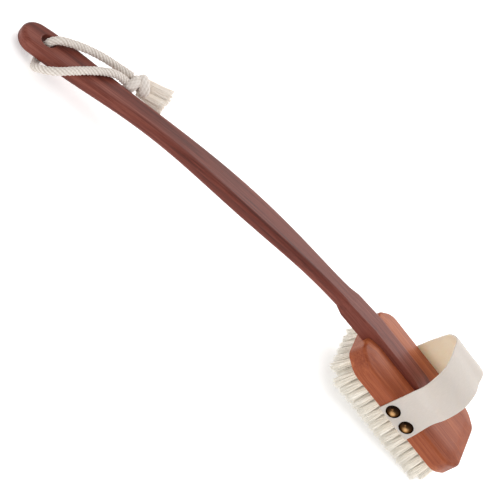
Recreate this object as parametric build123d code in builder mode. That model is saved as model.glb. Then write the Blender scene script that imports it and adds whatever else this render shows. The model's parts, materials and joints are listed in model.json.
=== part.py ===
from build123d import *

import os
from math import atan2, cos, degrees, hypot, radians, sin, tan

os.makedirs("parts", exist_ok=True)

# A long-handled body brush. Its bristled wooden head has a canvas hand strap, and its bowed
# handle slides into a dovetail groove in the head. Millimetres and degrees.
#
# The brush's own frame: x runs from the head's front face towards its far end, y across it,
# and z up from the face that the bristles stand on. The handle reaches out towards -x.

# Head
HEAD_LENGTH = 125
HEAD_WIDTH = 68
WALL_HEIGHT = 15.2
WALL_INSET = 0.6
CROWN_HEIGHT = 17.5
CROWN_INSET = 11
CORNER_CUT = (11.5, 10.5)
WALL_ROUNDS, CROWN_ROUNDS = (9, 16), (3, 6)
FOOT_ROUND, RIM_ROUND, CROWN_ROUND = 1.0, 2.8, 30

# Bristles, in straight rows along the head
TUFT_ROWS, TUFTS_IN_ROW = 8, 16
TUFT_PITCH_X, TUFT_PITCH_Y = 7.15, 8.1
TUFT_EDGE = 4.6
TUFT_HOLE_RADIUS, TUFT_HOLE_DEPTH = 2.2, 6
TUFT_RADIUS, TUFT_TIP_RADIUS = 2.15, 3.1
BRISTLE_LENGTH = 20
SPLAY = 4.5
ANCHOR = (4.0, 0.4, 1.8)

# Dovetail: the tongue on the handle and the groove that it slides in
TONGUE_LENGTH = 76
TONGUE_FOOT, TONGUE_TOP = 9.2, 22
TONGUE_FOOT_WIDTH, TONGUE_TOP_WIDTH = 22.6, 18.6
TONGUE_ROUND = 2.2
RAMP_START = 46
GROOVE_CLEARANCE = 0.2

# Handle: at each station along it, its middle (x, z), its width and depth, and the rounding of
# its edges
HANDLE_STATIONS = [
    (-323.8, -58.6, 27.2, 11.2, 3.8),
    (-308, -53.0, 27.8, 11.4, 3.8),
    (-271, -40.5, 25, 10.6, 4.2),
    (-215, -22.0, 22, 10.8, 4.8),
    (-160, -8.2, 23.6, 12.0, 4.0),
    (-104, 3.0, 22.2, 11.2, 3.4),
    (-58, 10.1, 18.2, 10.4, 3.6),
    (-34, 13.0, 17.6, 10.6, 3.2),
]
SHOULDER_X, SHOULDER_MIDDLE = -26, 14.1
SHOULDER_FOOT, SHOULDER_TOP = 8.4, 19.6
HANG_HOLE_X, HANG_HOLE_RADIUS, HANG_HOLE_ROUND = -315.8, 6, 0.8

# Hand strap and its nails
STRAP_WIDTH, STRAP_THICKNESS = 34, 1.6
STRAP_RISE, STRAP_BEND = 60.4, 24
NAIL_SPACING, NAIL_MIDDLE, NAIL_HEIGHT = 16.6, 61.6, 7.8
NAIL_RADIUS, NAIL_DOME = 5.8, 3.0
SHANK_RADIUS, SHANK_LENGTH, SHANK_POINT = 0.9, 13, 2.5

# Hanging loop of cotton rope, from its knot through the hole in the handle and back to the knot
ROPE_RADIUS = 3.2
ROPE_ROUTE = [
    (-256.0, 25.0, -30.2),
    (-265.8, 22.8, -32.4),
    (-275.2, 20.2, -33.8),
    (-283.8, 17.6, -35.6),
    (-291.6, 14.8, -37.8),
    (-299.0, 11.4, -39.8),
    (-306.4, 7.2, -42.0),
    (-314.4, 1.8, -44.4),
    (-317.6, -0.6, -51.6),
    (-313.0, -1.4, -63.0),
    (-311.4, -10.8, -65.5),
    (-311.6, -18.2, -62.4),
    (-310.6, -22.4, -57.2),
    (-307.0, -24.6, -51.4),
    (-301.2, -22.6, -45.2),
    (-295.4, -16.8, -40.6),
    (-289.4, -10.0, -37.4),
    (-283.4, -3.2, -35.0),
    (-277.2, 3.4, -32.8),
    (-269.8, 9.4, -30.3),
    (-262.6, 14.4, -30.6),
    (-255.2, 17.6, -32.0),
]
# The overhand knot, and the tails past it: where each leaves the knot, and its frayed end
KNOT = (-248.2, 21.8, -29.2)
KNOT_WRAP_RADIUS, KNOT_CORE_RADIUS, KNOT_WRAP_TILT = 5.4, 5.6, 24
KNOT_WRAP_SPACING = 5.6
ROPE_ENDS = {
    "rope_end_long": ((-249, 25.6, -26.8), (-225, 31, -18.5)),
    "rope_end_short": ((-245.4, 18.8, -30.2), (-223.5, 20.4, -24)),
}
ROPE_END_RADII = (2.9, 4.0)

# Resting on a table: the last bristles and the loop under the handle touch it
last_tuft = (TUFTS_IN_ROW - 1) * TUFT_PITCH_X / 2
last_splay = SPLAY * (2 * last_tuft / HEAD_LENGTH) ** 3
REAR_CONTACT = (HEAD_LENGTH / 2 + last_tuft + last_splay + TUFT_TIP_RADIUS, -BRISTLE_LENGTH)
LOOP_CONTACT = (-311.7, -68.1)
MIDDLE_X = 108.4

lean = atan2(REAR_CONTACT[1] - LOOP_CONTACT[1], REAR_CONTACT[0] - LOOP_CONTACT[0])
rest_height = REAR_CONTACT[0] * sin(lean) - REAR_CONTACT[1] * cos(lean)
brush = Plane(origin=(MIDDLE_X, 0, rest_height), x_dir=(cos(lean), 0, -sin(lean)),
              z_dir=(sin(lean), 0, cos(lean)))
side = Plane(origin=brush.origin, x_dir=brush.x_dir, z_dir=-brush.y_dir)


def at(x, y, z):
    """A point of the brush's own frame."""
    return brush.from_local_coords(Vector(x, y, z))


def across(x, z=0, slope=0):
    """The plane that cuts the brush square across at (x, z), its y up along the section."""
    along = at(cos(slope), 0, sin(slope)) - at(0, 0, 0)
    return Plane(origin=at(x, 0, z), x_dir=brush.y_dir, z_dir=along)


# ---------------------------------------------------------------- head
def head_corners(inset):
    """Corners of the head's plan, that far inside the outline of its foot."""
    cut_x, cut_y = CORNER_CUT
    slant = hypot(cut_x, cut_y)
    half_width = HEAD_WIDTH / 2 - inset
    end_y = HEAD_WIDTH / 2 - cut_y - inset * (slant - cut_y) / cut_x
    side_x = cut_x + inset * (slant - cut_x) / cut_y
    quarter = [(inset, end_y), (side_x, half_width)]
    front = [(x, -y) for x, y in reversed(quarter)] + quarter
    rear = [(HEAD_LENGTH - x, -y) for x, y in front]
    return front + rear


def head_plan(inset, height, rounds):
    """The head's plan at that height over its foot, its corners rounded at the ends and the sides."""
    end_round, side_round = rounds
    with BuildSketch(brush.offset(height)) as plan:
        with BuildLine():
            FilletPolyline(*head_corners(inset), close=True,
                           radius=[side_round, end_round, end_round, side_round] * 2)
        make_face()
    return plan.sketch


def groove_section():
    """The dovetail groove's section, open above the head."""
    flare = (TONGUE_FOOT_WIDTH - TONGUE_TOP_WIDTH) / 2 / (TONGUE_TOP - TONGUE_FOOT)
    foot = TONGUE_FOOT - GROOVE_CLEARANCE
    half_foot = TONGUE_FOOT_WIDTH / 2 + GROOVE_CLEARANCE
    half_top = half_foot - flare * (TONGUE_TOP - foot)
    with BuildSketch(across(0)) as section:
        with BuildLine():
            Polyline((-half_foot, foot), (half_foot, foot), (half_top, TONGUE_TOP),
                     (-half_top, TONGUE_TOP), close=True)
        make_face()
    return section.sketch


def tuft_places(row):
    """Where one row's tufts stand on the head's foot: x, y and how far each one splays."""
    y = (row - (TUFT_ROWS - 1) / 2) * TUFT_PITCH_Y
    cut_x, cut_y = CORNER_CUT
    places = []
    for number in range(TUFTS_IN_ROW):
        x = (number - (TUFTS_IN_ROW - 1) / 2) * TUFT_PITCH_X
        to_end, to_side = HEAD_LENGTH / 2 - abs(x), HEAD_WIDTH / 2 - abs(y)
        to_corner = (to_end * cut_y + to_side * cut_x - cut_x * cut_y) / hypot(cut_x, cut_y)
        if to_corner > TUFT_EDGE:
            splay_x = SPLAY * (2 * x / HEAD_LENGTH) ** 3
            splay_y = SPLAY * (2 * y / HEAD_WIDTH) * abs(2 * y / HEAD_WIDTH)
            places.append((HEAD_LENGTH / 2 + x, y, splay_x, splay_y))
    return places


tufts = [place for row in range(TUFT_ROWS) for place in tuft_places(row)]

wall_lean = atan2(WALL_INSET, WALL_HEIGHT)
nail_y = HEAD_WIDTH / 2 - NAIL_HEIGHT * tan(wall_lean)
nail_planes = [
    Plane(origin=at(NAIL_MIDDLE + end * NAIL_SPACING / 2, hand * nail_y, NAIL_HEIGHT),
          x_dir=brush.x_dir, z_dir=at(0, hand * cos(wall_lean), sin(wall_lean)) - at(0, 0, 0))
    for hand in (-1, 1) for end in (-1, 1)
]



def edges_at(height):
    """The head's edges that run all the way round it at that height over its foot."""
    return [edge for edge in head_block.edges()
            if abs(brush.to_local_coords(edge.center()).Z - height) < 0.05]


with BuildPart(brush) as head_block:
    foot, wall_top = head_plan(0, 0, WALL_ROUNDS), head_plan(WALL_INSET, WALL_HEIGHT, WALL_ROUNDS)
    loft([foot, wall_top], ruled=True)
    loft([wall_top, head_plan(CROWN_INSET, CROWN_HEIGHT, CROWN_ROUNDS)], ruled=True)
    fillet(edges_at(WALL_HEIGHT), RIM_ROUND)
    fillet(edges_at(0), FOOT_ROUND)
    fillet(edges_at(CROWN_HEIGHT), CROWN_ROUND)
    extrude(groove_section(), amount=TONGUE_LENGTH + GROOVE_CLEARANCE, mode=Mode.SUBTRACT)
    with Locations([(x, y, TUFT_HOLE_DEPTH / 2) for x, y, _, _ in tufts]):
        Cylinder(TUFT_HOLE_RADIUS, TUFT_HOLE_DEPTH, mode=Mode.SUBTRACT)
    for plane in nail_planes:
        with BuildSketch(plane):
            Circle(SHANK_RADIUS)
        extrude(amount=-SHANK_LENGTH, mode=Mode.SUBTRACT)
head_block.part.label = "head_block"
export_step(head_block.part, "parts/head_block.step")


# ---------------------------------------------------------------- bristles
anchor_length, anchor_width, anchor_height = ANCHOR
anchor_z = TUFT_HOLE_DEPTH - anchor_height / 2


def splayed_tuft(place):
    """One tuft: its root in the hole, slotted for its anchor, and its splayed bristles."""
    x, y, splay_x, splay_y = place
    with BuildPart(brush) as tuft:
        with BuildSketch(brush) as mouth:
            with Locations((x, y)):
                Circle(TUFT_RADIUS)
        with BuildSketch(brush.offset(-BRISTLE_LENGTH)) as tip:
            with Locations((x + splay_x, y + splay_y)):
                Circle(TUFT_TIP_RADIUS)
        loft([mouth.sketch, tip.sketch])
        extrude(mouth.sketch, amount=TUFT_HOLE_DEPTH)
        with Locations((x, y, anchor_z)):
            Box(2 * TUFT_RADIUS, anchor_width, anchor_height, mode=Mode.SUBTRACT)
    return tuft.part


for row in range(TUFT_ROWS):
    with BuildPart() as bristle_row:
        add([splayed_tuft(place) for place in tuft_places(row)])
    bristle_row.part.label = f"bristle_row_{row + 1}"
    export_step(bristle_row.part, f"parts/bristle_row_{row + 1}.step")

with BuildPart(brush) as tuft_anchors:
    with Locations([(x, y, anchor_z) for x, y, _, _ in tufts]):
        Box(anchor_length, anchor_width, anchor_height)
tuft_anchors.part.label = "tuft_anchors"
export_step(tuft_anchors.part, "parts/tuft_anchors.step")


# ---------------------------------------------------------------- hand strap
def strap_arch(reach):
    """The area under the strap, out to a surface that far from the head's wall."""
    foot_y, top = HEAD_WIDTH / 2 + reach / cos(wall_lean), STRAP_RISE - STRAP_THICKNESS + reach
    top_y = foot_y - top * tan(wall_lean)
    with BuildSketch(across(HEAD_LENGTH / 2 - STRAP_WIDTH / 2)) as area:
        with BuildLine():
            arch = FilletPolyline((-foot_y, 0), (-top_y, top), (top_y, top), (foot_y, 0),
                                  radius=STRAP_BEND + reach)
            Line(arch @ 1, arch @ 0)
        make_face()
    return area.sketch


with BuildPart() as hand_strap:
    extrude(strap_arch(STRAP_THICKNESS), amount=STRAP_WIDTH)
    extrude(strap_arch(0), amount=STRAP_WIDTH, mode=Mode.SUBTRACT)
    for plane in nail_planes:
        with BuildSketch(plane.offset(-1)):
            Circle(SHANK_RADIUS)
        extrude(amount=STRAP_THICKNESS + 2, mode=Mode.SUBTRACT)
hand_strap.part.label = "hand_strap"
export_step(hand_strap.part, "parts/hand_strap.step")

# A domed upholstery nail, drawn on its axis, its head flat on the strap
with BuildPart() as nail:
    with BuildSketch(Plane.XZ):
        with BuildLine():
            dome = TangentArc((0, NAIL_DOME), (NAIL_RADIUS, 0), tangent=(1, 0))
            Polyline(dome @ 1, (SHANK_RADIUS, 0), (SHANK_RADIUS, SHANK_POINT - SHANK_LENGTH),
                     (0, -SHANK_LENGTH), dome @ 0)
        make_face()
    revolve(axis=Axis.Z)

with BuildPart() as strap_nails:
    with Locations([plane.offset(STRAP_THICKNESS) for plane in nail_planes]):
        add(nail.part)
strap_nails.part.label = "strap_nails"
export_step(strap_nails.part, "parts/strap_nails.step")


# ---------------------------------------------------------------- handle
def slope_at(number):
    """The handle's slope at a station, from the stations beside it."""
    stations = HANDLE_STATIONS + [(SHOULDER_X, SHOULDER_MIDDLE)]
    before, after = stations[max(number - 1, 0)], stations[number + 1]
    return atan2(after[1] - before[1], after[0] - before[0])


def handle_section(number):
    x, z, width, depth, edge_round = HANDLE_STATIONS[number]
    with BuildSketch(across(x, z, slope_at(number))) as section:
        RectangleRounded(width, depth, edge_round)
    return section.sketch


def tongue_section(x, foot, top):
    """The dovetail tongue's section: wide at its foot, with rounded upper edges."""
    with BuildSketch(across(x)) as section:
        with BuildLine():
            FilletPolyline((-TONGUE_FOOT_WIDTH / 2, foot), (TONGUE_FOOT_WIDTH / 2, foot),
                           (TONGUE_TOP_WIDTH / 2, top), (-TONGUE_TOP_WIDTH / 2, top),
                           close=True, radius=[0.6, 0.6, TONGUE_ROUND, TONGUE_ROUND])
        make_face()
    return section.sketch


# Across the broad face of the tip, which ends in a half circle about its first station
tip = across(*HANDLE_STATIONS[0][:2], slope_at(0))
paddle = Plane(origin=tip.origin, x_dir=tip.z_dir, z_dir=tip.y_dir)
hole_centre = (HANG_HOLE_X - HANDLE_STATIONS[0][0]) / cos(slope_at(0))

with BuildPart() as handle:
    sections = [handle_section(number) for number in range(len(HANDLE_STATIONS))]
    shoulder = tongue_section(SHOULDER_X, SHOULDER_FOOT, SHOULDER_TOP)
    front = tongue_section(-0.5, TONGUE_FOOT, TONGUE_TOP)
    loft(sections)
    with BuildSketch(tip):
        RectangleRounded(*HANDLE_STATIONS[0][2:])
        Rectangle(*HANDLE_STATIONS[0][2:4], align=(Align.MAX, Align.CENTER), mode=Mode.SUBTRACT)
    revolve(axis=Axis(tip.origin, tip.y_dir), revolution_arc=180)
    # The hanging hole
    with BuildSketch(paddle):
        with Locations((hole_centre, 0)):
            Circle(HANG_HOLE_RADIUS)
    extrude(amount=20, both=True, mode=Mode.SUBTRACT)
    fillet(handle.edges(Select.LAST).filter_by(lambda edge: edge.is_closed), HANG_HOLE_ROUND)
    # The shoulder and the tongue, whose top runs down to nothing
    loft([sections[-1], shoulder], ruled=True)
    loft([shoulder, front], ruled=True)
    extrude(front, amount=TONGUE_LENGTH + 0.5)
    with BuildSketch(side):
        with BuildLine():
            ramp = Spline((RAMP_START, TONGUE_TOP), (TONGUE_LENGTH, CROWN_HEIGHT),
                          tangents=((1, 0), (1, -0.3)))
            Polyline(ramp @ 1, (TONGUE_LENGTH + 1, TONGUE_TOP + 1), (RAMP_START, TONGUE_TOP + 1),
                     ramp @ 0)
        make_face()
    extrude(amount=TONGUE_FOOT_WIDTH, both=True, mode=Mode.SUBTRACT)
handle.part.label = "handle"
export_step(handle.part, "parts/handle.step")


# ---------------------------------------------------------------- hanging loop
def corner_radii(route):
    """The largest arc that each corner's two runs leave room for."""
    radii = []
    for before, corner, after in zip(route, route[1:], route[2:]):
        run_in, run_out = Vector(corner) - Vector(before), Vector(after) - Vector(corner)
        half_turn = radians(run_in.get_angle(run_out)) / 2
        radii.append(0.45 * min(run_in.length, run_out.length) / tan(half_turn))
    return radii


rope_radii = corner_radii(ROPE_ROUTE)
print("rope arcs", [round(radius, 1) for radius in rope_radii])

with BuildPart() as rope_loop:
    with BuildLine() as rope_line:
        FilletPolyline(*[at(*point) for point in ROPE_ROUTE], radius=rope_radii)
    with BuildSketch(rope_line.line ^ 0):
        Circle(ROPE_RADIUS)
    sweep()
rope_loop.part.label = "rope_loop"
export_step(rope_loop.part, "parts/rope_loop.step")
print("rope length", round(sum(edge.length for edge in rope_line.line.edges()), 1))

# The knot: two turns of the rope, tilted against each other about its middle
run_out = sum((at(*end) for _, end in ROPE_ENDS.values()), Vector()) / len(ROPE_ENDS) - at(*KNOT)
knot_plane = Plane(origin=at(*KNOT), x_dir=brush.y_dir, z_dir=run_out)
turns = [
    Location((0, 0, end * KNOT_WRAP_SPACING / 2), (-end * KNOT_WRAP_TILT, 0, 0))
    for end in (-1, 1)
]
with BuildPart() as rope_knot:
    with Locations(knot_plane):
        Sphere(KNOT_CORE_RADIUS)
        with Locations(turns):
            Torus(KNOT_WRAP_RADIUS, ROPE_RADIUS)
    add(rope_loop.part, mode=Mode.SUBTRACT)
rope_knot.part.label = "rope_knot"
export_step(rope_knot.part, "parts/rope_knot.step")

for name, (root, frayed) in ROPE_ENDS.items():
    run = at(*frayed) - at(*root)
    with BuildPart() as rope_end:
        with Locations(Plane(origin=at(*root), z_dir=run)):
            Cone(*ROPE_END_RADII, run.length, align=(Align.CENTER, Align.CENTER, Align.MIN))
        add(rope_knot.part, mode=Mode.SUBTRACT)
    rope_end.part.label = name
    export_step(rope_end.part, f"parts/{name}.step")
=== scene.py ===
"""A long-handled body brush on a white floor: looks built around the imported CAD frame."""
import json
import math

import bpy
import numpy as np
from mathutils import Matrix, Vector


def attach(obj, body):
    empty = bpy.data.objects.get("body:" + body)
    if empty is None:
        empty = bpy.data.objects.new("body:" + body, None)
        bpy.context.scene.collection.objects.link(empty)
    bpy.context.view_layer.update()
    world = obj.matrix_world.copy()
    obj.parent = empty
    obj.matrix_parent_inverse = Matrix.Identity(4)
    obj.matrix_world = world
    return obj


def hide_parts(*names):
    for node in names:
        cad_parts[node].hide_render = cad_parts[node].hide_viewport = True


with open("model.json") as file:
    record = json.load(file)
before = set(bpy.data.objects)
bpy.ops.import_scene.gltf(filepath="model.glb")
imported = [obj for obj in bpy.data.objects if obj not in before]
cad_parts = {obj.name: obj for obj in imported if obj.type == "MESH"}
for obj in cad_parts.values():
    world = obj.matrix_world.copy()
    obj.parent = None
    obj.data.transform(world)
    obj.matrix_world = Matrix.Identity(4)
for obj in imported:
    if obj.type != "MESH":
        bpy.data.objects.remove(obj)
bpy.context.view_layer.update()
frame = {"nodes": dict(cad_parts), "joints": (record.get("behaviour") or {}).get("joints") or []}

MM = 0.001
RNG = np.random.default_rng(7)

# The brush's own frame: x from the head's front face to its far end, y across, z up from the
# face that the bristles stand on. The handle slides out along -x, so the joint gives that axis.
SLIDE = Vector(frame["joints"][0]["axis"])
X_DIR = -SLIDE.normalized()
Y_DIR = Vector((0, 1, 0))
Z_DIR = X_DIR.cross(Y_DIR)
ORIGIN = Vector((108.4, 0, 33.332)) * MM
TO_ROW = np.array([X_DIR, Y_DIR, Z_DIR])
# Directions that no line of rope and no fibre runs along, to start a frame across it from
ROPE_SKEW = (0.3, 0.2, 0.93)
FIBRE_SKEW = (0.31, 0.83, 0.46)


def at(points):
    """Points of the brush's own frame, in millimetres, as row points in metres."""
    return np.asarray(points, float) @ TO_ROW * MM + np.array(ORIGIN)


# ---------------------------------------------------------------- camera
camera_data = bpy.data.cameras.new("camera")
camera_data.lens = 222.47
camera_data.sensor_width = 36
camera_data.clip_start, camera_data.clip_end = 0.05, 30
camera = bpy.data.objects.new("camera", camera_data)
bpy.context.scene.collection.objects.link(camera)
camera.matrix_world = Matrix(((0.67089, -0.69322, -0.26335, -0.6012),
                              (0.29100, 0.57275, -0.76634, -1.7660),
                              (0.68207, 0.43749, 0.58598, 1.3677),
                              (0, 0, 0, 1)))
bpy.context.scene.camera = camera


# ---------------------------------------------------------------- mesh helpers
def piece(name, verts, faces, material, body, slot, replaced, **attributes):
    """A mesh piece of the brush. Attributes are per-vertex numbers or vectors for its material."""
    mesh = bpy.data.meshes.new(name)
    mesh.from_pydata(np.asarray(verts).tolist(), [], faces)
    mesh.validate()
    mesh.shade_smooth()
    for label, values in attributes.items():
        values = np.asarray(values, np.float32)
        if values.ndim == 1:
            attribute = mesh.attributes.new(label, "FLOAT", "POINT")
            attribute.data.foreach_set("value", values)
        else:
            attribute = mesh.attributes.new(label, "FLOAT_VECTOR", "POINT")
            attribute.data.foreach_set("vector", values.ravel())
    mesh.materials.append(material)
    obj = bpy.data.objects.new(name, mesh)
    bpy.context.scene.collection.objects.link(obj)
    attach(obj, body)
    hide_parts(*replaced)
    return obj


def grid_faces(rows, columns):
    """Quads between rows of points, each row closed on itself, and a cap at each end."""
    faces = []
    for row in range(rows - 1):
        for column in range(columns):
            after = (column + 1) % columns
            a, b = row * columns, (row + 1) * columns
            faces.append((a + column, a + after, b + after, b + column))
    last = (rows - 1) * columns
    faces.append(tuple(range(columns))[::-1])
    faces.append(tuple(last + column for column in range(columns)))
    return faces


def even(points, step):
    """The same line with points an even step apart, and how far along it they are."""
    points = np.asarray(points, float)
    runs = np.r_[0, np.cumsum(np.linalg.norm(np.diff(points, axis=0), axis=1))]
    places = np.linspace(0, runs[-1], max(int(round(runs[-1] / step)), 2) + 1)
    line = np.stack([np.interp(places, runs, points[:, axis]) for axis in range(3)], axis=1)
    return line, places


def carried_frames(points):
    """Two directions across a line at each of its points, carried along it without twist."""
    tangents = np.gradient(points, axis=0)
    tangents /= np.linalg.norm(tangents, axis=1)[:, None]
    side = np.cross(tangents[0], ROPE_SKEW)
    side /= np.linalg.norm(side)
    sides = []
    for tangent in tangents:
        side = side - tangent * side.dot(tangent)
        side = side / np.linalg.norm(side)
        sides.append(side)
    sides = np.array(sides)
    return sides, np.cross(tangents, sides)


def spline_points(name, points):
    """Points along the smooth line that a route's NURBS spline makes."""
    curve = bpy.data.curves.new(name, "CURVE")
    curve.dimensions = "3D"
    spline = curve.splines.new("NURBS")
    spline.points.add(len(points) - 1)
    for point, place in zip(spline.points, points):
        point.co = (*place, 1)
    spline.order_u = 3
    spline.use_endpoint_u = True
    spline.resolution_u = 16
    curve_object = bpy.data.objects.new(name, curve)
    mesh = bpy.data.meshes.new_from_object(curve_object)
    line = np.array([vertex.co for vertex in mesh.vertices])
    bpy.data.meshes.remove(mesh)
    bpy.data.objects.remove(curve_object)
    bpy.data.curves.remove(curve)
    return line


# ---------------------------------------------------------------- node helpers
class Nodes:
    """A material's node tree, with short ways to add nodes and links."""

    def __init__(self, name):
        self.material = bpy.data.materials.new(name)
        self.material.use_nodes = True
        self.tree = self.material.node_tree
        self.shader = self.tree.nodes["Principled BSDF"]

    def add(self, kind, inputs=None, **settings):
        node = self.tree.nodes.new("ShaderNode" + kind)
        for key, value in settings.items():
            setattr(node, key, value)
        for key, value in (inputs or {}).items():
            self.put(node.inputs[key], value)
        return node

    def put(self, socket, value):
        if isinstance(value, bpy.types.NodeSocket):
            self.tree.links.new(value, socket)
        elif isinstance(value, bpy.types.Node):
            self.tree.links.new(value.outputs[0], socket)
        else:
            socket.default_value = value

    def set(self, **values):
        """Sets or links the shader's sockets, each named with underscores for spaces."""
        for key, value in values.items():
            self.put(self.shader.inputs[key.replace("_", " ")], value)

    def place(self):
        return self.add("TexCoord").outputs["Object"]

    def attribute(self, name, output="Fac"):
        return self.add("Attribute", attribute_name=name).outputs[output]

    def scaled(self, vector, scale):
        return self.add("Mapping", {"Vector": vector, "Scale": scale}).outputs[0]

    def math(self, operation, *values):
        node = self.add("Math", operation=operation)
        for socket, value in zip(node.inputs, values):
            self.put(socket, value)
        return node.outputs[0]

    def blend(self, a, part_a, b, part_b):
        """Two values, each times its part, added up."""
        return self.math("ADD", self.math("MULTIPLY", a, part_a), self.math("MULTIPLY", b, part_b))

    def noise(self, vector, scale, detail=3.0, roughness=0.5, distortion=0.0):
        inputs = {"Vector": vector, "Scale": scale, "Detail": detail,
                  "Roughness": roughness, "Distortion": distortion}
        return self.add("TexNoise", inputs).outputs["Fac"]

    def ramp(self, value, *stops):
        node = self.add("ValToRGB", {"Fac": value})
        ramp = node.color_ramp
        while len(ramp.elements) < len(stops):
            ramp.elements.new(0.5)
        for element, (place, colour) in zip(ramp.elements, stops):
            element.position = place
            element.color = colour if len(colour) == 4 else (*colour, 1)
        return node.outputs[0]

    def mix(self, factor, a, b, blend="MIX"):
        """Mixes two colours; their sockets have the same names as others, so go by number."""
        node = self.add("Mix", data_type="RGBA", blend_type=blend)
        self.put(node.inputs[0], factor)
        self.put(node.inputs[6], a)
        self.put(node.inputs[7], b)
        return node.outputs[2]

    def bump(self, *layers):
        """Bumps of (height, distance in metres, strength), one on the other."""
        normal = None
        for height, distance, strength in layers:
            inputs = {"Height": height, "Distance": distance, "Strength": strength}
            node = self.add("Bump", inputs)
            if normal is not None:
                self.put(node.inputs["Normal"], normal)
            normal = node.outputs[0]
        self.put(self.shader.inputs["Normal"], normal)


def srgb(red, green, blue):
    """A colour given as screen values from 0 to 255."""
    return tuple(((v / 255 + 0.055) / 1.055) ** 2.4 if v > 10 else v / 255 / 12.92
                 for v in (red, green, blue)) + (1,)


WHITE = (1, 1, 1)

# ---------------------------------------------------------------- materials
# The handle's middle line, which its grain follows: x and z in millimetres
HANDLE_MIDDLE = [(-345, -67.0), (-323.8, -58.6), (-308, -53.0), (-271, -40.5), (-215, -22.0),
                 (-160, -8.2), (-104, 3.0), (-58, 10.1), (-20, 14.5), (80, 16.0)]
# The grain's curve node holds heights from 0 to 1, which stand for this range in millimetres
BOW_LOWEST, BOW_RANGE = -80, 100
WOOD_ROUGHNESS = 0.42
# Noise cells per metre along the grain and across it
GRAIN_BROAD, GRAIN_STREAK, GRAIN_PORES = (6, 75, 75), (20, 760, 760), (90, 2300, 2300)
# Noise cells per millimetre round and along the rope, and across and along the webbing
YARN_SCALE, SLUB_SCALE, BLOTCH_SCALE = (0.9, 6.0, 1.0), (2.2, 0.25, 1.0), (0.07, 0.05, 1.0)


def along_bow(n, place, bow):
    """The place with each point's height taken from the bow's line at its x."""
    apart = n.add("SeparateXYZ", {"Vector": place})
    low, high = bow[0][0] * MM + ORIGIN.x, bow[-1][0] * MM + ORIGIN.x
    along = n.add("MapRange", {"Value": apart.outputs[0], "From Min": low, "From Max": high})
    curve = n.add("FloatCurve", {"Value": along.outputs[0]})
    points = curve.mapping.curves[0].points
    for index, (x, z) in enumerate(bow):
        spot = ((x * MM + ORIGIN.x - low) / (high - low), (z - BOW_LOWEST) / BOW_RANGE)
        if index < 2:
            points[index].location = spot
        else:
            points.new(*spot)
    curve.mapping.update()
    drop = n.math("MULTIPLY_ADD", curve, BOW_RANGE * MM, BOW_LOWEST * MM)
    height = n.math("SUBTRACT", apart.outputs[2], drop)
    inputs = {"X": apart.outputs[0], "Y": apart.outputs[1], "Z": height}
    return n.add("CombineXYZ", inputs).outputs[0]


def wood(name, dark, middle, light, gloss, bow=None):
    """Oiled hardwood with its grain along the brush; bow makes the grain follow a curve."""
    n = Nodes(name)
    lean = -math.atan2(Z_DIR.x, X_DIR.x)
    place = n.add("VectorRotate", {"Vector": n.place(), "Center": tuple(ORIGIN), "Axis": (0, 1, 0),
                                   "Angle": lean}).outputs[0]
    if bow:
        place = along_bow(n, place, bow)
    broad = n.noise(n.scaled(place, GRAIN_BROAD), 1.0, roughness=0.55, distortion=0.6)
    fine = n.noise(n.scaled(place, GRAIN_STREAK), 1.0, 4.0, roughness=0.6, distortion=0.25)
    pores = n.noise(n.scaled(place, GRAIN_PORES), 1.0, 2.0)
    colour = n.ramp(n.blend(broad, 0.56, fine, 0.44), (0.35, dark), (0.50, middle), (0.65, light))
    pore_mask = n.ramp(pores, (0.30, (0.72, 0.62, 0.58)), (0.43, WHITE))
    n.set(Base_Color=n.mix(0.7, colour, pore_mask, "MULTIPLY"),
          Roughness=n.math("MULTIPLY_ADD", fine, 0.14, WOOD_ROUGHNESS - 0.07),
          Specular_IOR_Level=gloss)
    n.bump((fine, 0.0002, 0.25), (pores, 0.0001, 0.35))
    return n.material


def cotton_material():
    """Undyed cotton rope: painted darker in the furrows between its strands as shade, with fine
    fibres.
    """
    n = Nodes("rope_cotton")
    lay = n.attribute("lay", "Vector")
    yarn = n.noise(n.scaled(lay, YARN_SCALE), 1.0, roughness=0.6)
    blotch = n.noise(n.place(), 220.0, 2.0)
    # Painted shade: depth runs from 0 in the furrows to 1 on the strands' tops, and the colour
    # darkens towards the furrows
    colour = n.ramp(n.attribute("depth"), (0.0, srgb(198, 187, 176)), (0.5, srgb(219, 209, 200)),
                    (1.0, srgb(238, 231, 224)))
    colour = n.mix(n.math("MULTIPLY", blotch, 0.6), colour, srgb(224, 213, 203))
    n.set(Base_Color=colour, Roughness=0.9, Sheen_Weight=0.08, Sheen_Roughness=0.5,
          Specular_IOR_Level=0.2)
    n.bump((yarn, 0.0005, 0.7))
    return n.material


def fibre_material(name, root, tip, roughness, glow):
    """Fine fibres: the tone attribute runs from 0 to 1 and is each fibre's own.

    The faint glow stands for the light that passes through them.
    """
    n = Nodes(name)
    shade = n.ramp(n.attribute("tone"), (0.0, (0.90, 0.87, 0.82)), (1.0, WHITE))
    colour = n.mix(n.attribute("along"), root, tip)
    n.set(Base_Color=n.mix(1.0, colour, shade, "MULTIPLY"), Roughness=roughness,
          Emission_Color=tip, Emission_Strength=glow, Specular_IOR_Level=0.35)
    return n.material


# The webbing's warp threads are this far apart, and its weft threads a quarter more
THREAD_PITCH, WEFT_SHARE = 0.9, 0.8
STRAP_HALF_LENGTH = 82.25


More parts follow.
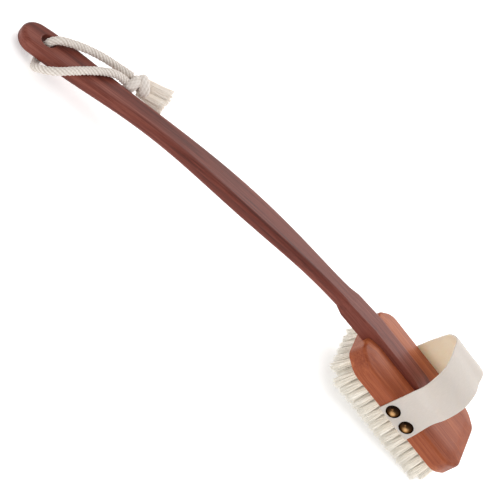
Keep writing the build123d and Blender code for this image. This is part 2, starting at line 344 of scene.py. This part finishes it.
def webbing_material():
    """Plain cotton webbing; cloth gives millimetres across, along, and 1 on the inside.

    The outside is painted a little darker towards the nailed ends as shade.
    """
    n = Nodes("strap_canvas")
    cloth = n.attribute("cloth", "Vector")
    across, along, inside = n.add("SeparateXYZ", {"Vector": cloth}).outputs
    pitch = 2 * math.pi / THREAD_PITCH
    warp = n.math("SINE", n.math("MULTIPLY", across, pitch))
    weft = n.math("SINE", n.math("MULTIPLY", along, pitch * WEFT_SHARE))
    weave = n.math("MULTIPLY", warp, weft)
    slub = n.noise(n.scaled(cloth, SLUB_SCALE), 1.0, roughness=0.6)
    blotch = n.noise(n.scaled(cloth, BLOTCH_SCALE), 1.0)
    outer = n.ramp(slub, (0.3, srgb(204, 196, 188)), (0.7, srgb(212, 204, 196)))
    from_top = n.math("ABSOLUTE", n.math("MULTIPLY_ADD", along, 1 / STRAP_HALF_LENGTH, -1.0))
    # Painted shade: the outside darkens towards the nailed ends
    painted_end_shade = n.ramp(from_top, (0.45, WHITE), (0.9, (0.87, 0.865, 0.86)))
    outer = n.mix(1.0, outer, painted_end_shade, "MULTIPLY")
    # Painted light: the inside is coloured lighter and warmer than the outside, as light bounced in
    # under the arch
    bounce_lit_inner = n.ramp(slub, (0.3, srgb(250, 238, 216)), (0.7, srgb(254, 246, 228)))
    colour = n.mix(inside, outer, bounce_lit_inner)
    colour = n.mix(n.math("MULTIPLY", blotch, 0.2), colour, srgb(200, 188, 178))
    n.set(Base_Color=colour, Roughness=0.88, Subsurface_Weight=0.4, Subsurface_Scale=1.0,
          Subsurface_Radius=(0.0022, 0.0018, 0.0013), Specular_IOR_Level=0.2)
    n.bump((weave, 0.00015, 0.35), (slub, 0.0002, 0.12))
    return n.material


def brass_material():
    """Antique brass: painted bright on the crown as a highlight, and darker towards the rim as shade.
    """
    n = Nodes("nail_brass")
    patina = n.noise(n.place(), 420.0, 4.0, roughness=0.6)
    # Painted highlight on the crown and painted shade towards the rim, with the patina noise mixed in
    colour = n.ramp(n.blend(patina, 0.25, n.attribute("crown"), 0.75), (0.24, srgb(34, 22, 15)),
                    (0.50, srgb(72, 49, 28)), (0.78, srgb(196, 152, 104)))
    n.set(Base_Color=colour, Metallic=1.0, Roughness=n.math("MULTIPLY_ADD", patina, 0.12, 0.15),
          Specular_Tint=(0.22, 0.15, 0.10, 1))
    n.bump((patina, 0.0001, 0.15))
    return n.material


def wire_material():
    """Bare steel wire."""
    n = Nodes("anchor_wire")
    scratches = n.noise(n.place(), 900.0)
    n.set(Base_Color=srgb(150, 150, 150), Metallic=1.0,
          Roughness=n.math("MULTIPLY_ADD", scratches, 0.3, 0.25))
    return n.material


head_wood = wood("head_wood", srgb(126, 58, 32), srgb(152, 78, 46), srgb(178, 104, 66), 0.22)
handle_wood = wood("handle_wood", srgb(70, 30, 23), srgb(110, 54, 43), srgb(134, 75, 62), 0.18,
                   bow=HANDLE_MIDDLE)
rope_cotton = cotton_material()
frayed_cotton = fibre_material("frayed_cotton", srgb(230, 218, 206), srgb(248, 241, 233), 0.85, 0.025)
bristle_material = fibre_material("bristle", srgb(246, 237, 221), srgb(253, 250, 243), 0.5, 0.035)
webbing = webbing_material()
antique_brass = brass_material()

for node, material in (("head_block", head_wood), ("handle", handle_wood),
                       ("tuft_anchors", wire_material())):
    obj = frame["nodes"][node]
    obj.data.materials.clear()
    obj.data.materials.append(material)

# ---------------------------------------------------------------- hanging rope
ROPE_DIAMETER = 6.4
STRAND_SPACING = 3.1
ROPE_RING_STEP, ROPE_SIDES = 0.36, 60
# How far from an end a rope narrows towards it
END_TAPER = 2.5
# A strand's radius as a share of the rope's, how much of that fills the furrow beside it, and
# how far its yarns stand out of it
STRAND_SHARE, FURROW_FILL, YARN_RELIEF = 0.28, 0.42, 0.13
# The rope's line: from the knot down through the hole, under the handle and back to the knot
ROPE_ROUTE = [
    (-256.0, 25.0, -30.2),
    (-265.8, 22.8, -32.4),
    (-275.2, 20.2, -33.8),
    (-283.8, 17.6, -35.6),
    (-291.6, 14.8, -37.8),
    (-299.0, 11.4, -39.8),
    (-306.4, 7.2, -42.0),
    (-314.4, 1.8, -44.4),
    (-317.6, -0.6, -51.6),
    (-313.0, -1.4, -63.0),
    (-311.4, -10.8, -65.5),
    (-311.6, -18.2, -62.4),
    (-310.6, -22.4, -57.2),
    (-307.0, -24.6, -51.4),
    (-301.2, -22.6, -45.2),
    (-295.4, -16.8, -40.6),
    (-289.4, -10.0, -37.4),
    (-283.4, -3.2, -35.0),
    (-277.2, 3.4, -32.8),
    (-269.8, 9.4, -30.3),
    (-262.6, 14.4, -30.6),
    (-255.2, 17.6, -32.0),
]


def laid(angle, along, radius):
    """How far a laid rope's surface stands from its middle, and how high on its strand, 0 to 1.

    Plump strands wind round at about 45 degrees. Millimetres.
    """
    count = int(round(2.0 * radius))
    pitch = STRAND_SPACING * count
    strand = STRAND_SHARE * radius
    middle = radius - strand
    furrow = middle + FURROW_FILL * strand
    lean = math.atan2(2 * math.pi * middle, pitch)
    height = np.full(np.broadcast(angle, along).shape, furrow)
    shade = np.zeros_like(height)
    # The strands bunch and part a little along the rope, and each wanders on its own
    wound = along + 0.2 * np.sin(0.55 * along) + 0.06 * np.sin(1.7 * along + 1)
    grain = YARN_RELIEF * np.cos(count * (angle + 2 * math.pi * along / pitch))
    for number in range(count):
        uneven = 0.07 * np.sin(0.23 * along + 2.4 * number)
        centre = 2 * math.pi * wound / pitch + number * 2 * math.pi / count + uneven
        apart = (angle - centre + math.pi) % (2 * math.pi) - math.pi
        across = middle * apart * math.cos(lean) / strand
        round_up = np.sqrt(np.clip(1 - across ** 2, 0, None))
        top = middle + strand * (round_up + grain * round_up ** 2)
        over = (np.abs(across) < 1) & (top > height)
        height = np.where(over, top, height)
        shade = np.where(over, (round_up - 0.45 + grain) / 0.6, shade)
    swell = 1 + 0.015 * np.sin(along * 0.9 + 1.3) + 0.012 * np.sin(along * 0.37 + 2 * angle)
    return height * swell, np.clip(shade, 0, 1)


def rope_skin(name, line, diameter, replaced, end_size=1.0):
    """A laid rope along a line of points in metres, narrowed to end_size at its two ends."""
    line, places = even(line, ROPE_RING_STEP * MM)
    sides, ups = carried_frames(line)
    angles = np.arange(ROPE_SIDES) * 2 * math.pi / ROPE_SIDES
    along = places / MM
    heights, shade = laid(angles[None, :], along[:, None], diameter / 2)
    taper = np.ones(len(along))
    for from_end in (along, along[-1] - along):
        narrow = end_size + (1 - end_size) * np.sqrt(np.clip(from_end / END_TAPER, 0, 1))
        taper *= np.where(from_end < END_TAPER, narrow, 1)
    heights = heights * taper[:, None] * MM
    outward = (np.cos(angles)[None, :, None] * sides[:, None]
               + np.sin(angles)[None, :, None] * ups[:, None])
    rings = line[:, None] + heights[..., None] * outward
    lay = np.stack([np.broadcast_to(angles * diameter / 2, heights.shape),
                    np.broadcast_to(along[:, None], heights.shape),
                    np.zeros(heights.shape)], axis=-1)
    return piece(name, rings.reshape(-1, 3), grid_faces(len(line), ROPE_SIDES), rope_cotton,
                 "handle", "rope_cotton", replaced, lay=lay.reshape(-1, 3), depth=shade.ravel())


rope_line = spline_points("rope_route", at(ROPE_ROUTE))
rope = rope_skin("hanging_rope", rope_line, ROPE_DIAMETER, ["rope_loop"])

# The overhand knot: two turns of the rope about the loop's ends, each tucked in under itself
KNOT = np.array((-248.2, 21.8, -29.2))
TAILS = {"rope_end_long": ((-249, 25.6, -26.8), (-225, 31, -18.5)),
         "rope_end_short": ((-245.4, 18.8, -30.2), (-223.5, 20.4, -24))}
run_out = np.mean([end for _, end in TAILS.values()], axis=0) - KNOT
run_out /= np.linalg.norm(run_out)
knot_side = np.cross(run_out, (0, 0, 1))
knot_side /= np.linalg.norm(knot_side)
knot_up = np.cross(knot_side, run_out)
# Angles round the knot of its upper side and of its side away from the tucks
KNOT_TOP, KNOT_FACE = 2.475, 0.75
# How far a turn goes each way from that side, in half circles, and where its tuck begins
TURN_REACH, TUCK_START, TUCK_LENGTH = 1.2, 0.78, 0.42
# How far in a tuck ends, as a share of the turn's radius, and how thick its rope is there
TUCK_DEPTH, TURN_END_SIZE = 0.6, 0.6


def knot_turn(shift, lift, tilt, lead, radius):
    """One turn round the knot, its two ends tucked in behind. It leans by tilt at its top."""
    t = np.linspace(-TURN_REACH, TURN_REACH, 90)
    tucked = np.clip((np.abs(t) - TUCK_START) / TUCK_LENGTH, 0, 1) ** 1.3
    out = radius - TUCK_DEPTH * radius * tucked
    angle = KNOT_FACE + t * math.pi
    run = shift + lead * t + tilt * np.cos(angle - KNOT_TOP)
    middle = KNOT + lift * (math.cos(KNOT_TOP) * knot_side + math.sin(KNOT_TOP) * knot_up)
    outward = np.cos(angle)[:, None] * knot_side + np.sin(angle)[:, None] * knot_up
    return middle + out[:, None] * outward + run[:, None] * run_out


near_turn = at(knot_turn(-4.2, -1.7, 2.4, -1.0, 4.5))
far_turn = at(knot_turn(3.7, 1.5, -3.0, 1.0, 4.3))
knot_pieces = [rope_skin("knot_turn_near", near_turn, 8.6, ["rope_knot"], TURN_END_SIZE),
               rope_skin("knot_turn_far", far_turn, 8.4, ["rope_knot"], TURN_END_SIZE)]


def tubes(lines, radii, sides):
    """Fine fibres as tubes along lines: arrays of fibre, point and coordinate."""
    count, points, _ = lines.shape
    tangents = np.gradient(lines, axis=1)
    tangents /= np.linalg.norm(tangents, axis=2, keepdims=True)
    across = np.cross(tangents, FIBRE_SKEW)
    across /= np.linalg.norm(across, axis=2, keepdims=True)
    ups = np.cross(tangents, across)
    angles = np.arange(sides) * 2 * math.pi / sides
    rings = (lines[:, :, None] + radii[:, :, None, None]
             * (np.cos(angles)[None, None, :, None] * across[:, :, None]
                + np.sin(angles)[None, None, :, None] * ups[:, :, None]))
    start = (np.arange(count) * points * sides)[:, None, None]
    row = (np.arange(points - 1) * sides)[None, :, None]
    column = np.arange(sides)[None, None, :]
    a = start + row + column
    b = start + row + (column + 1) % sides
    faces = np.stack([a, b, b + sides, a + sides], axis=-1).reshape(-1, 4).tolist()
    tips = start[:, 0] + (points - 1) * sides + np.arange(sides)[None]
    faces += tips.tolist()
    along = np.linspace(0, 1, points)[None, :, None]
    return rings.reshape(-1, 3), faces, np.broadcast_to(along, (count, points, sides)).ravel()


YARNS_IN_TAIL, YARN_RADIUS, YARN_TIP = 260, 0.26, 0.7
YARN_POINTS, YARN_SIDES = 9, 5
# A tail's radius at the knot and what it gains by its end; its shape across and up; its drift
TAIL_RADIUS, TAIL_SPREAD = 3.0, 2.6
TAIL_WIDE, TAIL_HIGH, TAIL_DRIFT = 1.15, 0.72, 0.9


def frayed_tail(node, other):
    """A rope end come apart into yarns that spread, widest towards the other rope end."""
    root, end = (np.array(point) for point in TAILS[node])
    run = end - root
    length = np.linalg.norm(run)
    run = run / length
    side = np.array(TAILS[other][1]) - end
    side = side - run * side.dot(run)
    side /= np.linalg.norm(side)
    up = np.cross(side, run)
    count = YARNS_IN_TAIL
    t = np.linspace(0, 1, YARN_POINTS)
    turn = RNG.uniform(0, 2 * math.pi, count)
    out = np.sqrt(RNG.uniform(0, 1, count))
    reach = RNG.uniform(0.86, 1.04, count)
    wave = RNG.uniform(0, 2 * math.pi, (2, count))
    swing = RNG.normal(0, 0.35, (2, count))
    spread = TAIL_RADIUS + TAIL_SPREAD * t ** 0.9
    radial = out[:, None] * spread[None] * (1 - 0.1 * np.sin(math.pi * t))
    twist = turn[:, None] + 0.4 * t[None]
    sway = swing[0][:, None] * np.sin(3.2 * t[None] + wave[0][:, None]) * t
    lift = swing[1][:, None] * np.sin(2.7 * t[None] + wave[1][:, None]) * t
    a = radial * np.cos(twist) + sway
    b = radial * np.sin(twist) + lift
    forward = (t[None] * reach[:, None]) * length
    lines = (root + forward[..., None] * run + (TAIL_WIDE * a + TAIL_DRIFT * t)[..., None] * side
             + TAIL_HIGH * b[..., None] * up)
    radii = np.full((count, YARN_POINTS), YARN_RADIUS * MM)
    radii[:, -1] *= YARN_TIP
    verts, faces, along = tubes(at(lines), radii, YARN_SIDES)
    tone = np.repeat(RNG.uniform(0, 1, count), YARN_POINTS * YARN_SIDES)
    return piece(node + "_frayed", verts, faces, frayed_cotton, "handle", "rope_cotton", [node],
                 tone=tone, along=along)


tails = [frayed_tail("rope_end_long", "rope_end_short"),
         frayed_tail("rope_end_short", "rope_end_long")]

# ---------------------------------------------------------------- bristles
HEAD_LENGTH, HEAD_WIDTH, CORNER_CUT = 125, 68, (11.5, 10.5)
TUFT_ROWS, TUFTS_IN_ROW = 8, 16
TUFT_PITCH_X, TUFT_PITCH_Y, TUFT_EDGE = 7.15, 8.1, 4.6
BRISTLE_LENGTH, SPLAY = 20, 4.5
# How far a tuft's bristles stand from its middle, and how deep their roots are in the wood
ROOT_SPREAD, TIP_SPREAD, ROOT_DEPTH = 2.2, 3.9, 1.0
# How much its bristles differ: where a tip stands and its turn, the length and the bow
TIP_SCATTER, TURN_SCATTER, LENGTH_SCATTER, BOW_SCATTER = 0.3, 0.16, 0.45, 0.14
SHORTEST, LONGEST = -1.6, 0.35
# Each bristle's points: their places along it and its radius there
BRISTLE_PLACES = np.array([0, 0.3, 0.65, 1.0])
BRISTLE_RADII = np.array([0.24, 0.24, 0.22, 0.13])
BRISTLE_SIDES = 4
BRISTLES_IN_TUFT = 170


def tuft_places(row):
    """Where one row's tufts stand and how far each splays, as in the CAD."""
    y = (row - (TUFT_ROWS - 1) / 2) * TUFT_PITCH_Y
    cut_x, cut_y = CORNER_CUT
    for number in range(TUFTS_IN_ROW):
        x = (number - (TUFTS_IN_ROW - 1) / 2) * TUFT_PITCH_X
        to_end, to_side = HEAD_LENGTH / 2 - abs(x), HEAD_WIDTH / 2 - abs(y)
        to_corner = (to_end * cut_y + to_side * cut_x - cut_x * cut_y) / math.hypot(cut_x, cut_y)
        if to_corner > TUFT_EDGE:
            splay_x = SPLAY * (2 * x / HEAD_LENGTH) ** 3
            splay_y = SPLAY * (2 * y / HEAD_WIDTH) * abs(2 * y / HEAD_WIDTH)
            yield HEAD_LENGTH / 2 + x, y, splay_x, splay_y


def bristle_row(row):
    """One row of tufts, each a bundle of fine tapered bristles."""
    t, per_tuft = BRISTLE_PLACES, BRISTLES_IN_TUFT
    lines, tones = [], []
    for x, y, splay_x, splay_y in tuft_places(row):
        turn = RNG.uniform(0, 2 * math.pi, per_tuft)
        out = np.sqrt(RNG.uniform(0, 1, per_tuft))
        tip_out = out * TIP_SPREAD + RNG.normal(0, TIP_SCATTER, per_tuft)
        tip_turn = turn + RNG.normal(0, TURN_SCATTER, per_tuft)
        differ = RNG.normal(0, LENGTH_SCATTER, per_tuft).clip(SHORTEST, LONGEST)
        length = BRISTLE_LENGTH + differ
        bow = RNG.normal(0, BOW_SCATTER, (2, per_tuft))
        root = np.stack([x + ROOT_SPREAD * out * np.cos(turn), y + ROOT_SPREAD * out * np.sin(turn)])
        tip = np.stack([x + splay_x + tip_out * np.cos(tip_turn),
                        y + splay_y + tip_out * np.sin(tip_turn)])
        # The bow is how far the middle stands aside, where t * (1 - t) is a quarter
        bend = (t * (1 - t))[None, None] * bow[..., None] * 4
        spot = root[..., None] + (tip - root)[..., None] * (t ** 1.15)[None, None] + bend
        z = ROOT_DEPTH - (length[:, None] + ROOT_DEPTH) * t[None]
        lines.append(np.stack([spot[0], spot[1], z], axis=-1))
        tones.append(0.5 + 0.5 * RNG.uniform(-1, 1, per_tuft) * RNG.uniform(0.4, 1))
    lines = np.concatenate(lines)
    radii = np.broadcast_to(BRISTLE_RADII * MM, (len(lines), len(t)))
    verts, faces, along = tubes(at(lines), radii, BRISTLE_SIDES)
    tone = np.repeat(np.concatenate(tones), len(t) * BRISTLE_SIDES)
    node = f"bristle_row_{row + 1}"
    piece(node + "_fibres", verts, faces, bristle_material, "head", "bristle", [node],
          tone=tone, along=along)


for row in range(TUFT_ROWS):
    bristle_row(row)

# ---------------------------------------------------------------- hand strap
STRAP_FRONT, STRAP_WIDTH, STRAP_THICKNESS = 45.5, 34.0, 1.6
STRAP_RISE, STRAP_BEND = 60.4, 24.0
WALL_LEAN = math.atan2(0.6, 15.2)
# How far the webbing's rounded edges reach in, as a share of its width
EDGE = 0.012
# Rows of points are this far apart, and each face is this far inside the CAD's
STRAP_STEP, SKIN_GAP = 0.8, 0.05
# How far the near leg's rear edge is drawn in, at what height and over how much of it
DRAWN_IN, DRAWN_HEIGHT, DRAWN_REACH = 2.6, 28, 17.0


def strap_arch(reach):
    """The strap's line over the head, across and up, that far out from the head's wall."""
    foot_y = HEAD_WIDTH / 2 + reach / math.cos(WALL_LEAN)
    top = STRAP_RISE - STRAP_THICKNESS + reach
    top_y = foot_y - top * math.tan(WALL_LEAN)
    radius = STRAP_BEND + reach
    cut = radius * math.tan((math.pi / 2 - WALL_LEAN) / 2)
    bend_y, bend_z = -top_y + cut, top - radius
    arc = [(bend_y + radius * math.cos(a), bend_z + radius * math.sin(a))
           for a in np.linspace(math.pi - WALL_LEAN, math.pi / 2, 40)]
    half = [(-foot_y, 0.0)] + arc
    return np.array(half + [(-y, z) for y, z in reversed(half)])


def strap_section():
    """The webbing's section: places across, 0 to 1, and through, -1 to 1, all the way round."""
    flat = np.linspace(EDGE, 1 - EDGE, 44)
    turns = np.linspace(0, math.pi, 7)[1:-1]
    spots = [(u, 1.0) for u in flat]
    spots += [(1 - EDGE + EDGE * math.sin(a), math.cos(a)) for a in turns]
    spots += [(u, -1.0) for u in flat[::-1]]
    spots += [(EDGE - EDGE * math.sin(a), -math.cos(a)) for a in turns]
    return np.array(spots)


arch = strap_arch(STRAP_THICKNESS / 2)
arch, strap_along = even(np.column_stack([np.zeros(len(arch)), arch]), STRAP_STEP)
tangent = np.gradient(arch, axis=0)
tangent /= np.linalg.norm(tangent, axis=1)[:, None]
normal = np.cross(tangent, (-1.0, 0, 0))
u, v = strap_section().T[:, None]
along, across, height = strap_along[:, None], arch[:, 1][:, None], arch[:, 2][:, None]
near_leg = (across < 0).astype(float)
bow_in = DRAWN_IN * near_leg * np.exp(-((height - DRAWN_HEIGHT) / DRAWN_REACH) ** 2)
x = STRAP_FRONT + u * STRAP_WIDTH - bow_in * u ** 3
# Off the wood the webbing waves a little and its edges curl
flutter = 0.25 * np.sin(0.33 * along + 2.0 * u) + 0.2 * np.sin(0.19 * along - 5.0 * u)
flutter = flutter * np.clip((height - 17) / 15, 0, 1)
curl = 0.5 * (2 * u - 1) ** 4 * np.clip((height - 20) / 20, 0, 1)
offset = (STRAP_THICKNESS / 2 - SKIN_GAP) * v + flutter - curl
strap_points = np.stack([np.broadcast_to(x, offset.shape),
                         across + normal[:, 1][:, None] * offset,
                         height + normal[:, 2][:, None] * offset], axis=-1)
cloth = np.stack([np.broadcast_to(u * STRAP_WIDTH, offset.shape),
                  np.broadcast_to(along, offset.shape),
                  np.broadcast_to(np.clip(-v, 0, 1), offset.shape)], axis=-1)
strap = piece("hand_strap_webbing", at(strap_points.reshape(-1, 3)), grid_faces(*offset.shape),
              webbing, "head", "strap_canvas", ["hand_strap"], cloth=cloth.reshape(-1, 3))

# ---------------------------------------------------------------- strap nails
NAIL_RADIUS, NAIL_DOME, NAIL_SIDES = 5.8, 3.0, 56
NAIL_MIDDLE, NAIL_SPACING, NAIL_HEIGHT = 61.6, 16.6, 7.8
NAIL_GAP = 0.1


def nail_profile():
    """A domed head from its crown to the underside of its rolled rim: radius and rise."""
    sphere = (NAIL_RADIUS ** 2 + NAIL_DOME ** 2) / (2 * NAIL_DOME)
    dome = [(sphere * math.sin(a), NAIL_DOME - sphere + sphere * math.cos(a))
            for a in np.linspace(0, math.asin(NAIL_RADIUS / sphere), 16)[1:]]
    rim = [(NAIL_RADIUS + 0.06, -0.12), (NAIL_RADIUS - 0.12, -0.32), (NAIL_RADIUS - 0.9, -0.32)]
    return dome + rim


def strap_nail(name, hand, end):
    """One nail head, on the near side for a hand of -1, in front for an end of -1."""
    out = np.array((0, hand * math.cos(WALL_LEAN), math.sin(WALL_LEAN)))
    up = np.array((0, -hand * math.sin(WALL_LEAN), math.cos(WALL_LEAN)))
    foot_y = HEAD_WIDTH / 2 - NAIL_HEIGHT * math.tan(WALL_LEAN)
    foot = np.array((NAIL_MIDDLE + end * NAIL_SPACING / 2, hand * foot_y, NAIL_HEIGHT))
    centre = foot + out * (STRAP_THICKNESS + NAIL_GAP)
    profile = nail_profile()
    # crown runs from 1 at the middle to 0 at the rim; the brass paints its highlight and shade with
    # it
    spots, crowns = [centre + out * NAIL_DOME], [1.0]
    for radius, rise in profile:
        for step in range(NAIL_SIDES):
            a = 2 * math.pi * step / NAIL_SIDES
            round_about = math.cos(a) * np.array((1.0, 0, 0)) + math.sin(a) * up
            spots.append(centre + out * rise + radius * round_about)
            crowns.append(max(0.0, 1 - radius / NAIL_RADIUS))
    steps = [(step, (step + 1) % NAIL_SIDES) for step in range(NAIL_SIDES)]
    faces = [(0, 1 + s, 1 + after) for s, after in steps]
    for ring in range(len(profile) - 1):
        first = 1 + ring * NAIL_SIDES
        below = first + NAIL_SIDES
        faces += [(first + s, below + s, below + after, first + after) for s, after in steps]
    piece(name, at(spots), faces, antique_brass, "head", "nail_brass", ["strap_nails"], crown=crowns)


for side_name, hand in (("near", -1), ("far", 1)):
    for end_name, end in (("front", -1), ("rear", 1)):
        strap_nail(f"nail_{side_name}_{end_name}", hand, end)

# ---------------------------------------------------------------- floor, world and lights
FLOOR_REACH = 6
floor_material = Nodes("floor")
floor_material.set(Base_Color=(0.9, 0.9, 0.9, 1), Roughness=0.9,
                   Emission_Color=(1, 1, 1, 1), Emission_Strength=0.4)
floor_mesh = bpy.data.meshes.new("floor")
floor_corners = [(-1, -1), (1, -1), (1, 1), (-1, 1)]
floor_mesh.from_pydata([(x * FLOOR_REACH, y * FLOOR_REACH, 0) for x, y in floor_corners],
                       [], [(0, 1, 2, 3)])
floor_mesh.materials.append(floor_material.material)
floor = bpy.data.objects.new("floor", floor_mesh)
bpy.context.scene.collection.objects.link(floor)

# A soft tent, brighter behind the brush and to its right
TENT_LEAN, TENT_LEVEL = (0.30, 0.14, 0), 0.80
world = bpy.data.worlds.new("world")
bpy.context.scene.world = world
world.use_nodes = True
nodes, links = world.node_tree.nodes, world.node_tree.links
background = nodes["Background"]
background.inputs["Color"].default_value = (1, 1, 1, 1)
sky = nodes.new("ShaderNodeTexCoord")
towards = nodes.new("ShaderNodeVectorMath")
towards.operation = "DOT_PRODUCT"
towards.inputs[1].default_value = TENT_LEAN
level = nodes.new("ShaderNodeMath")
level.inputs[1].default_value = TENT_LEVEL
links.new(sky.outputs["Generated"], towards.inputs[0])
links.new(towards.outputs["Value"], level.inputs[0])
links.new(level.outputs[0], background.inputs["Strength"])
bpy.context.scene.view_settings.view_transform = "Standard"

LIT_POINT = Vector((0, 0, 0.03))


def softbox(name, place, size, power):
    """A square area light that faces the brush."""
    light = bpy.data.lights.new(name, "AREA")
    light.size = size
    light.energy = power
    obj = bpy.data.objects.new(name, light)
    obj.location = place
    obj.rotation_mode = "QUATERNION"
    obj.rotation_quaternion = (LIT_POINT - Vector(place)).to_track_quat("-Z", "Y")
    bpy.context.scene.collection.objects.link(obj)


softbox("back", (0.5, 1.55, 1.2), 1.3, 17)
softbox("top", (-0.3, -0.2, 1.9), 1.4, 5)
softbox("front", (-0.47, -1.49, 0.25), 0.34, 4.5)
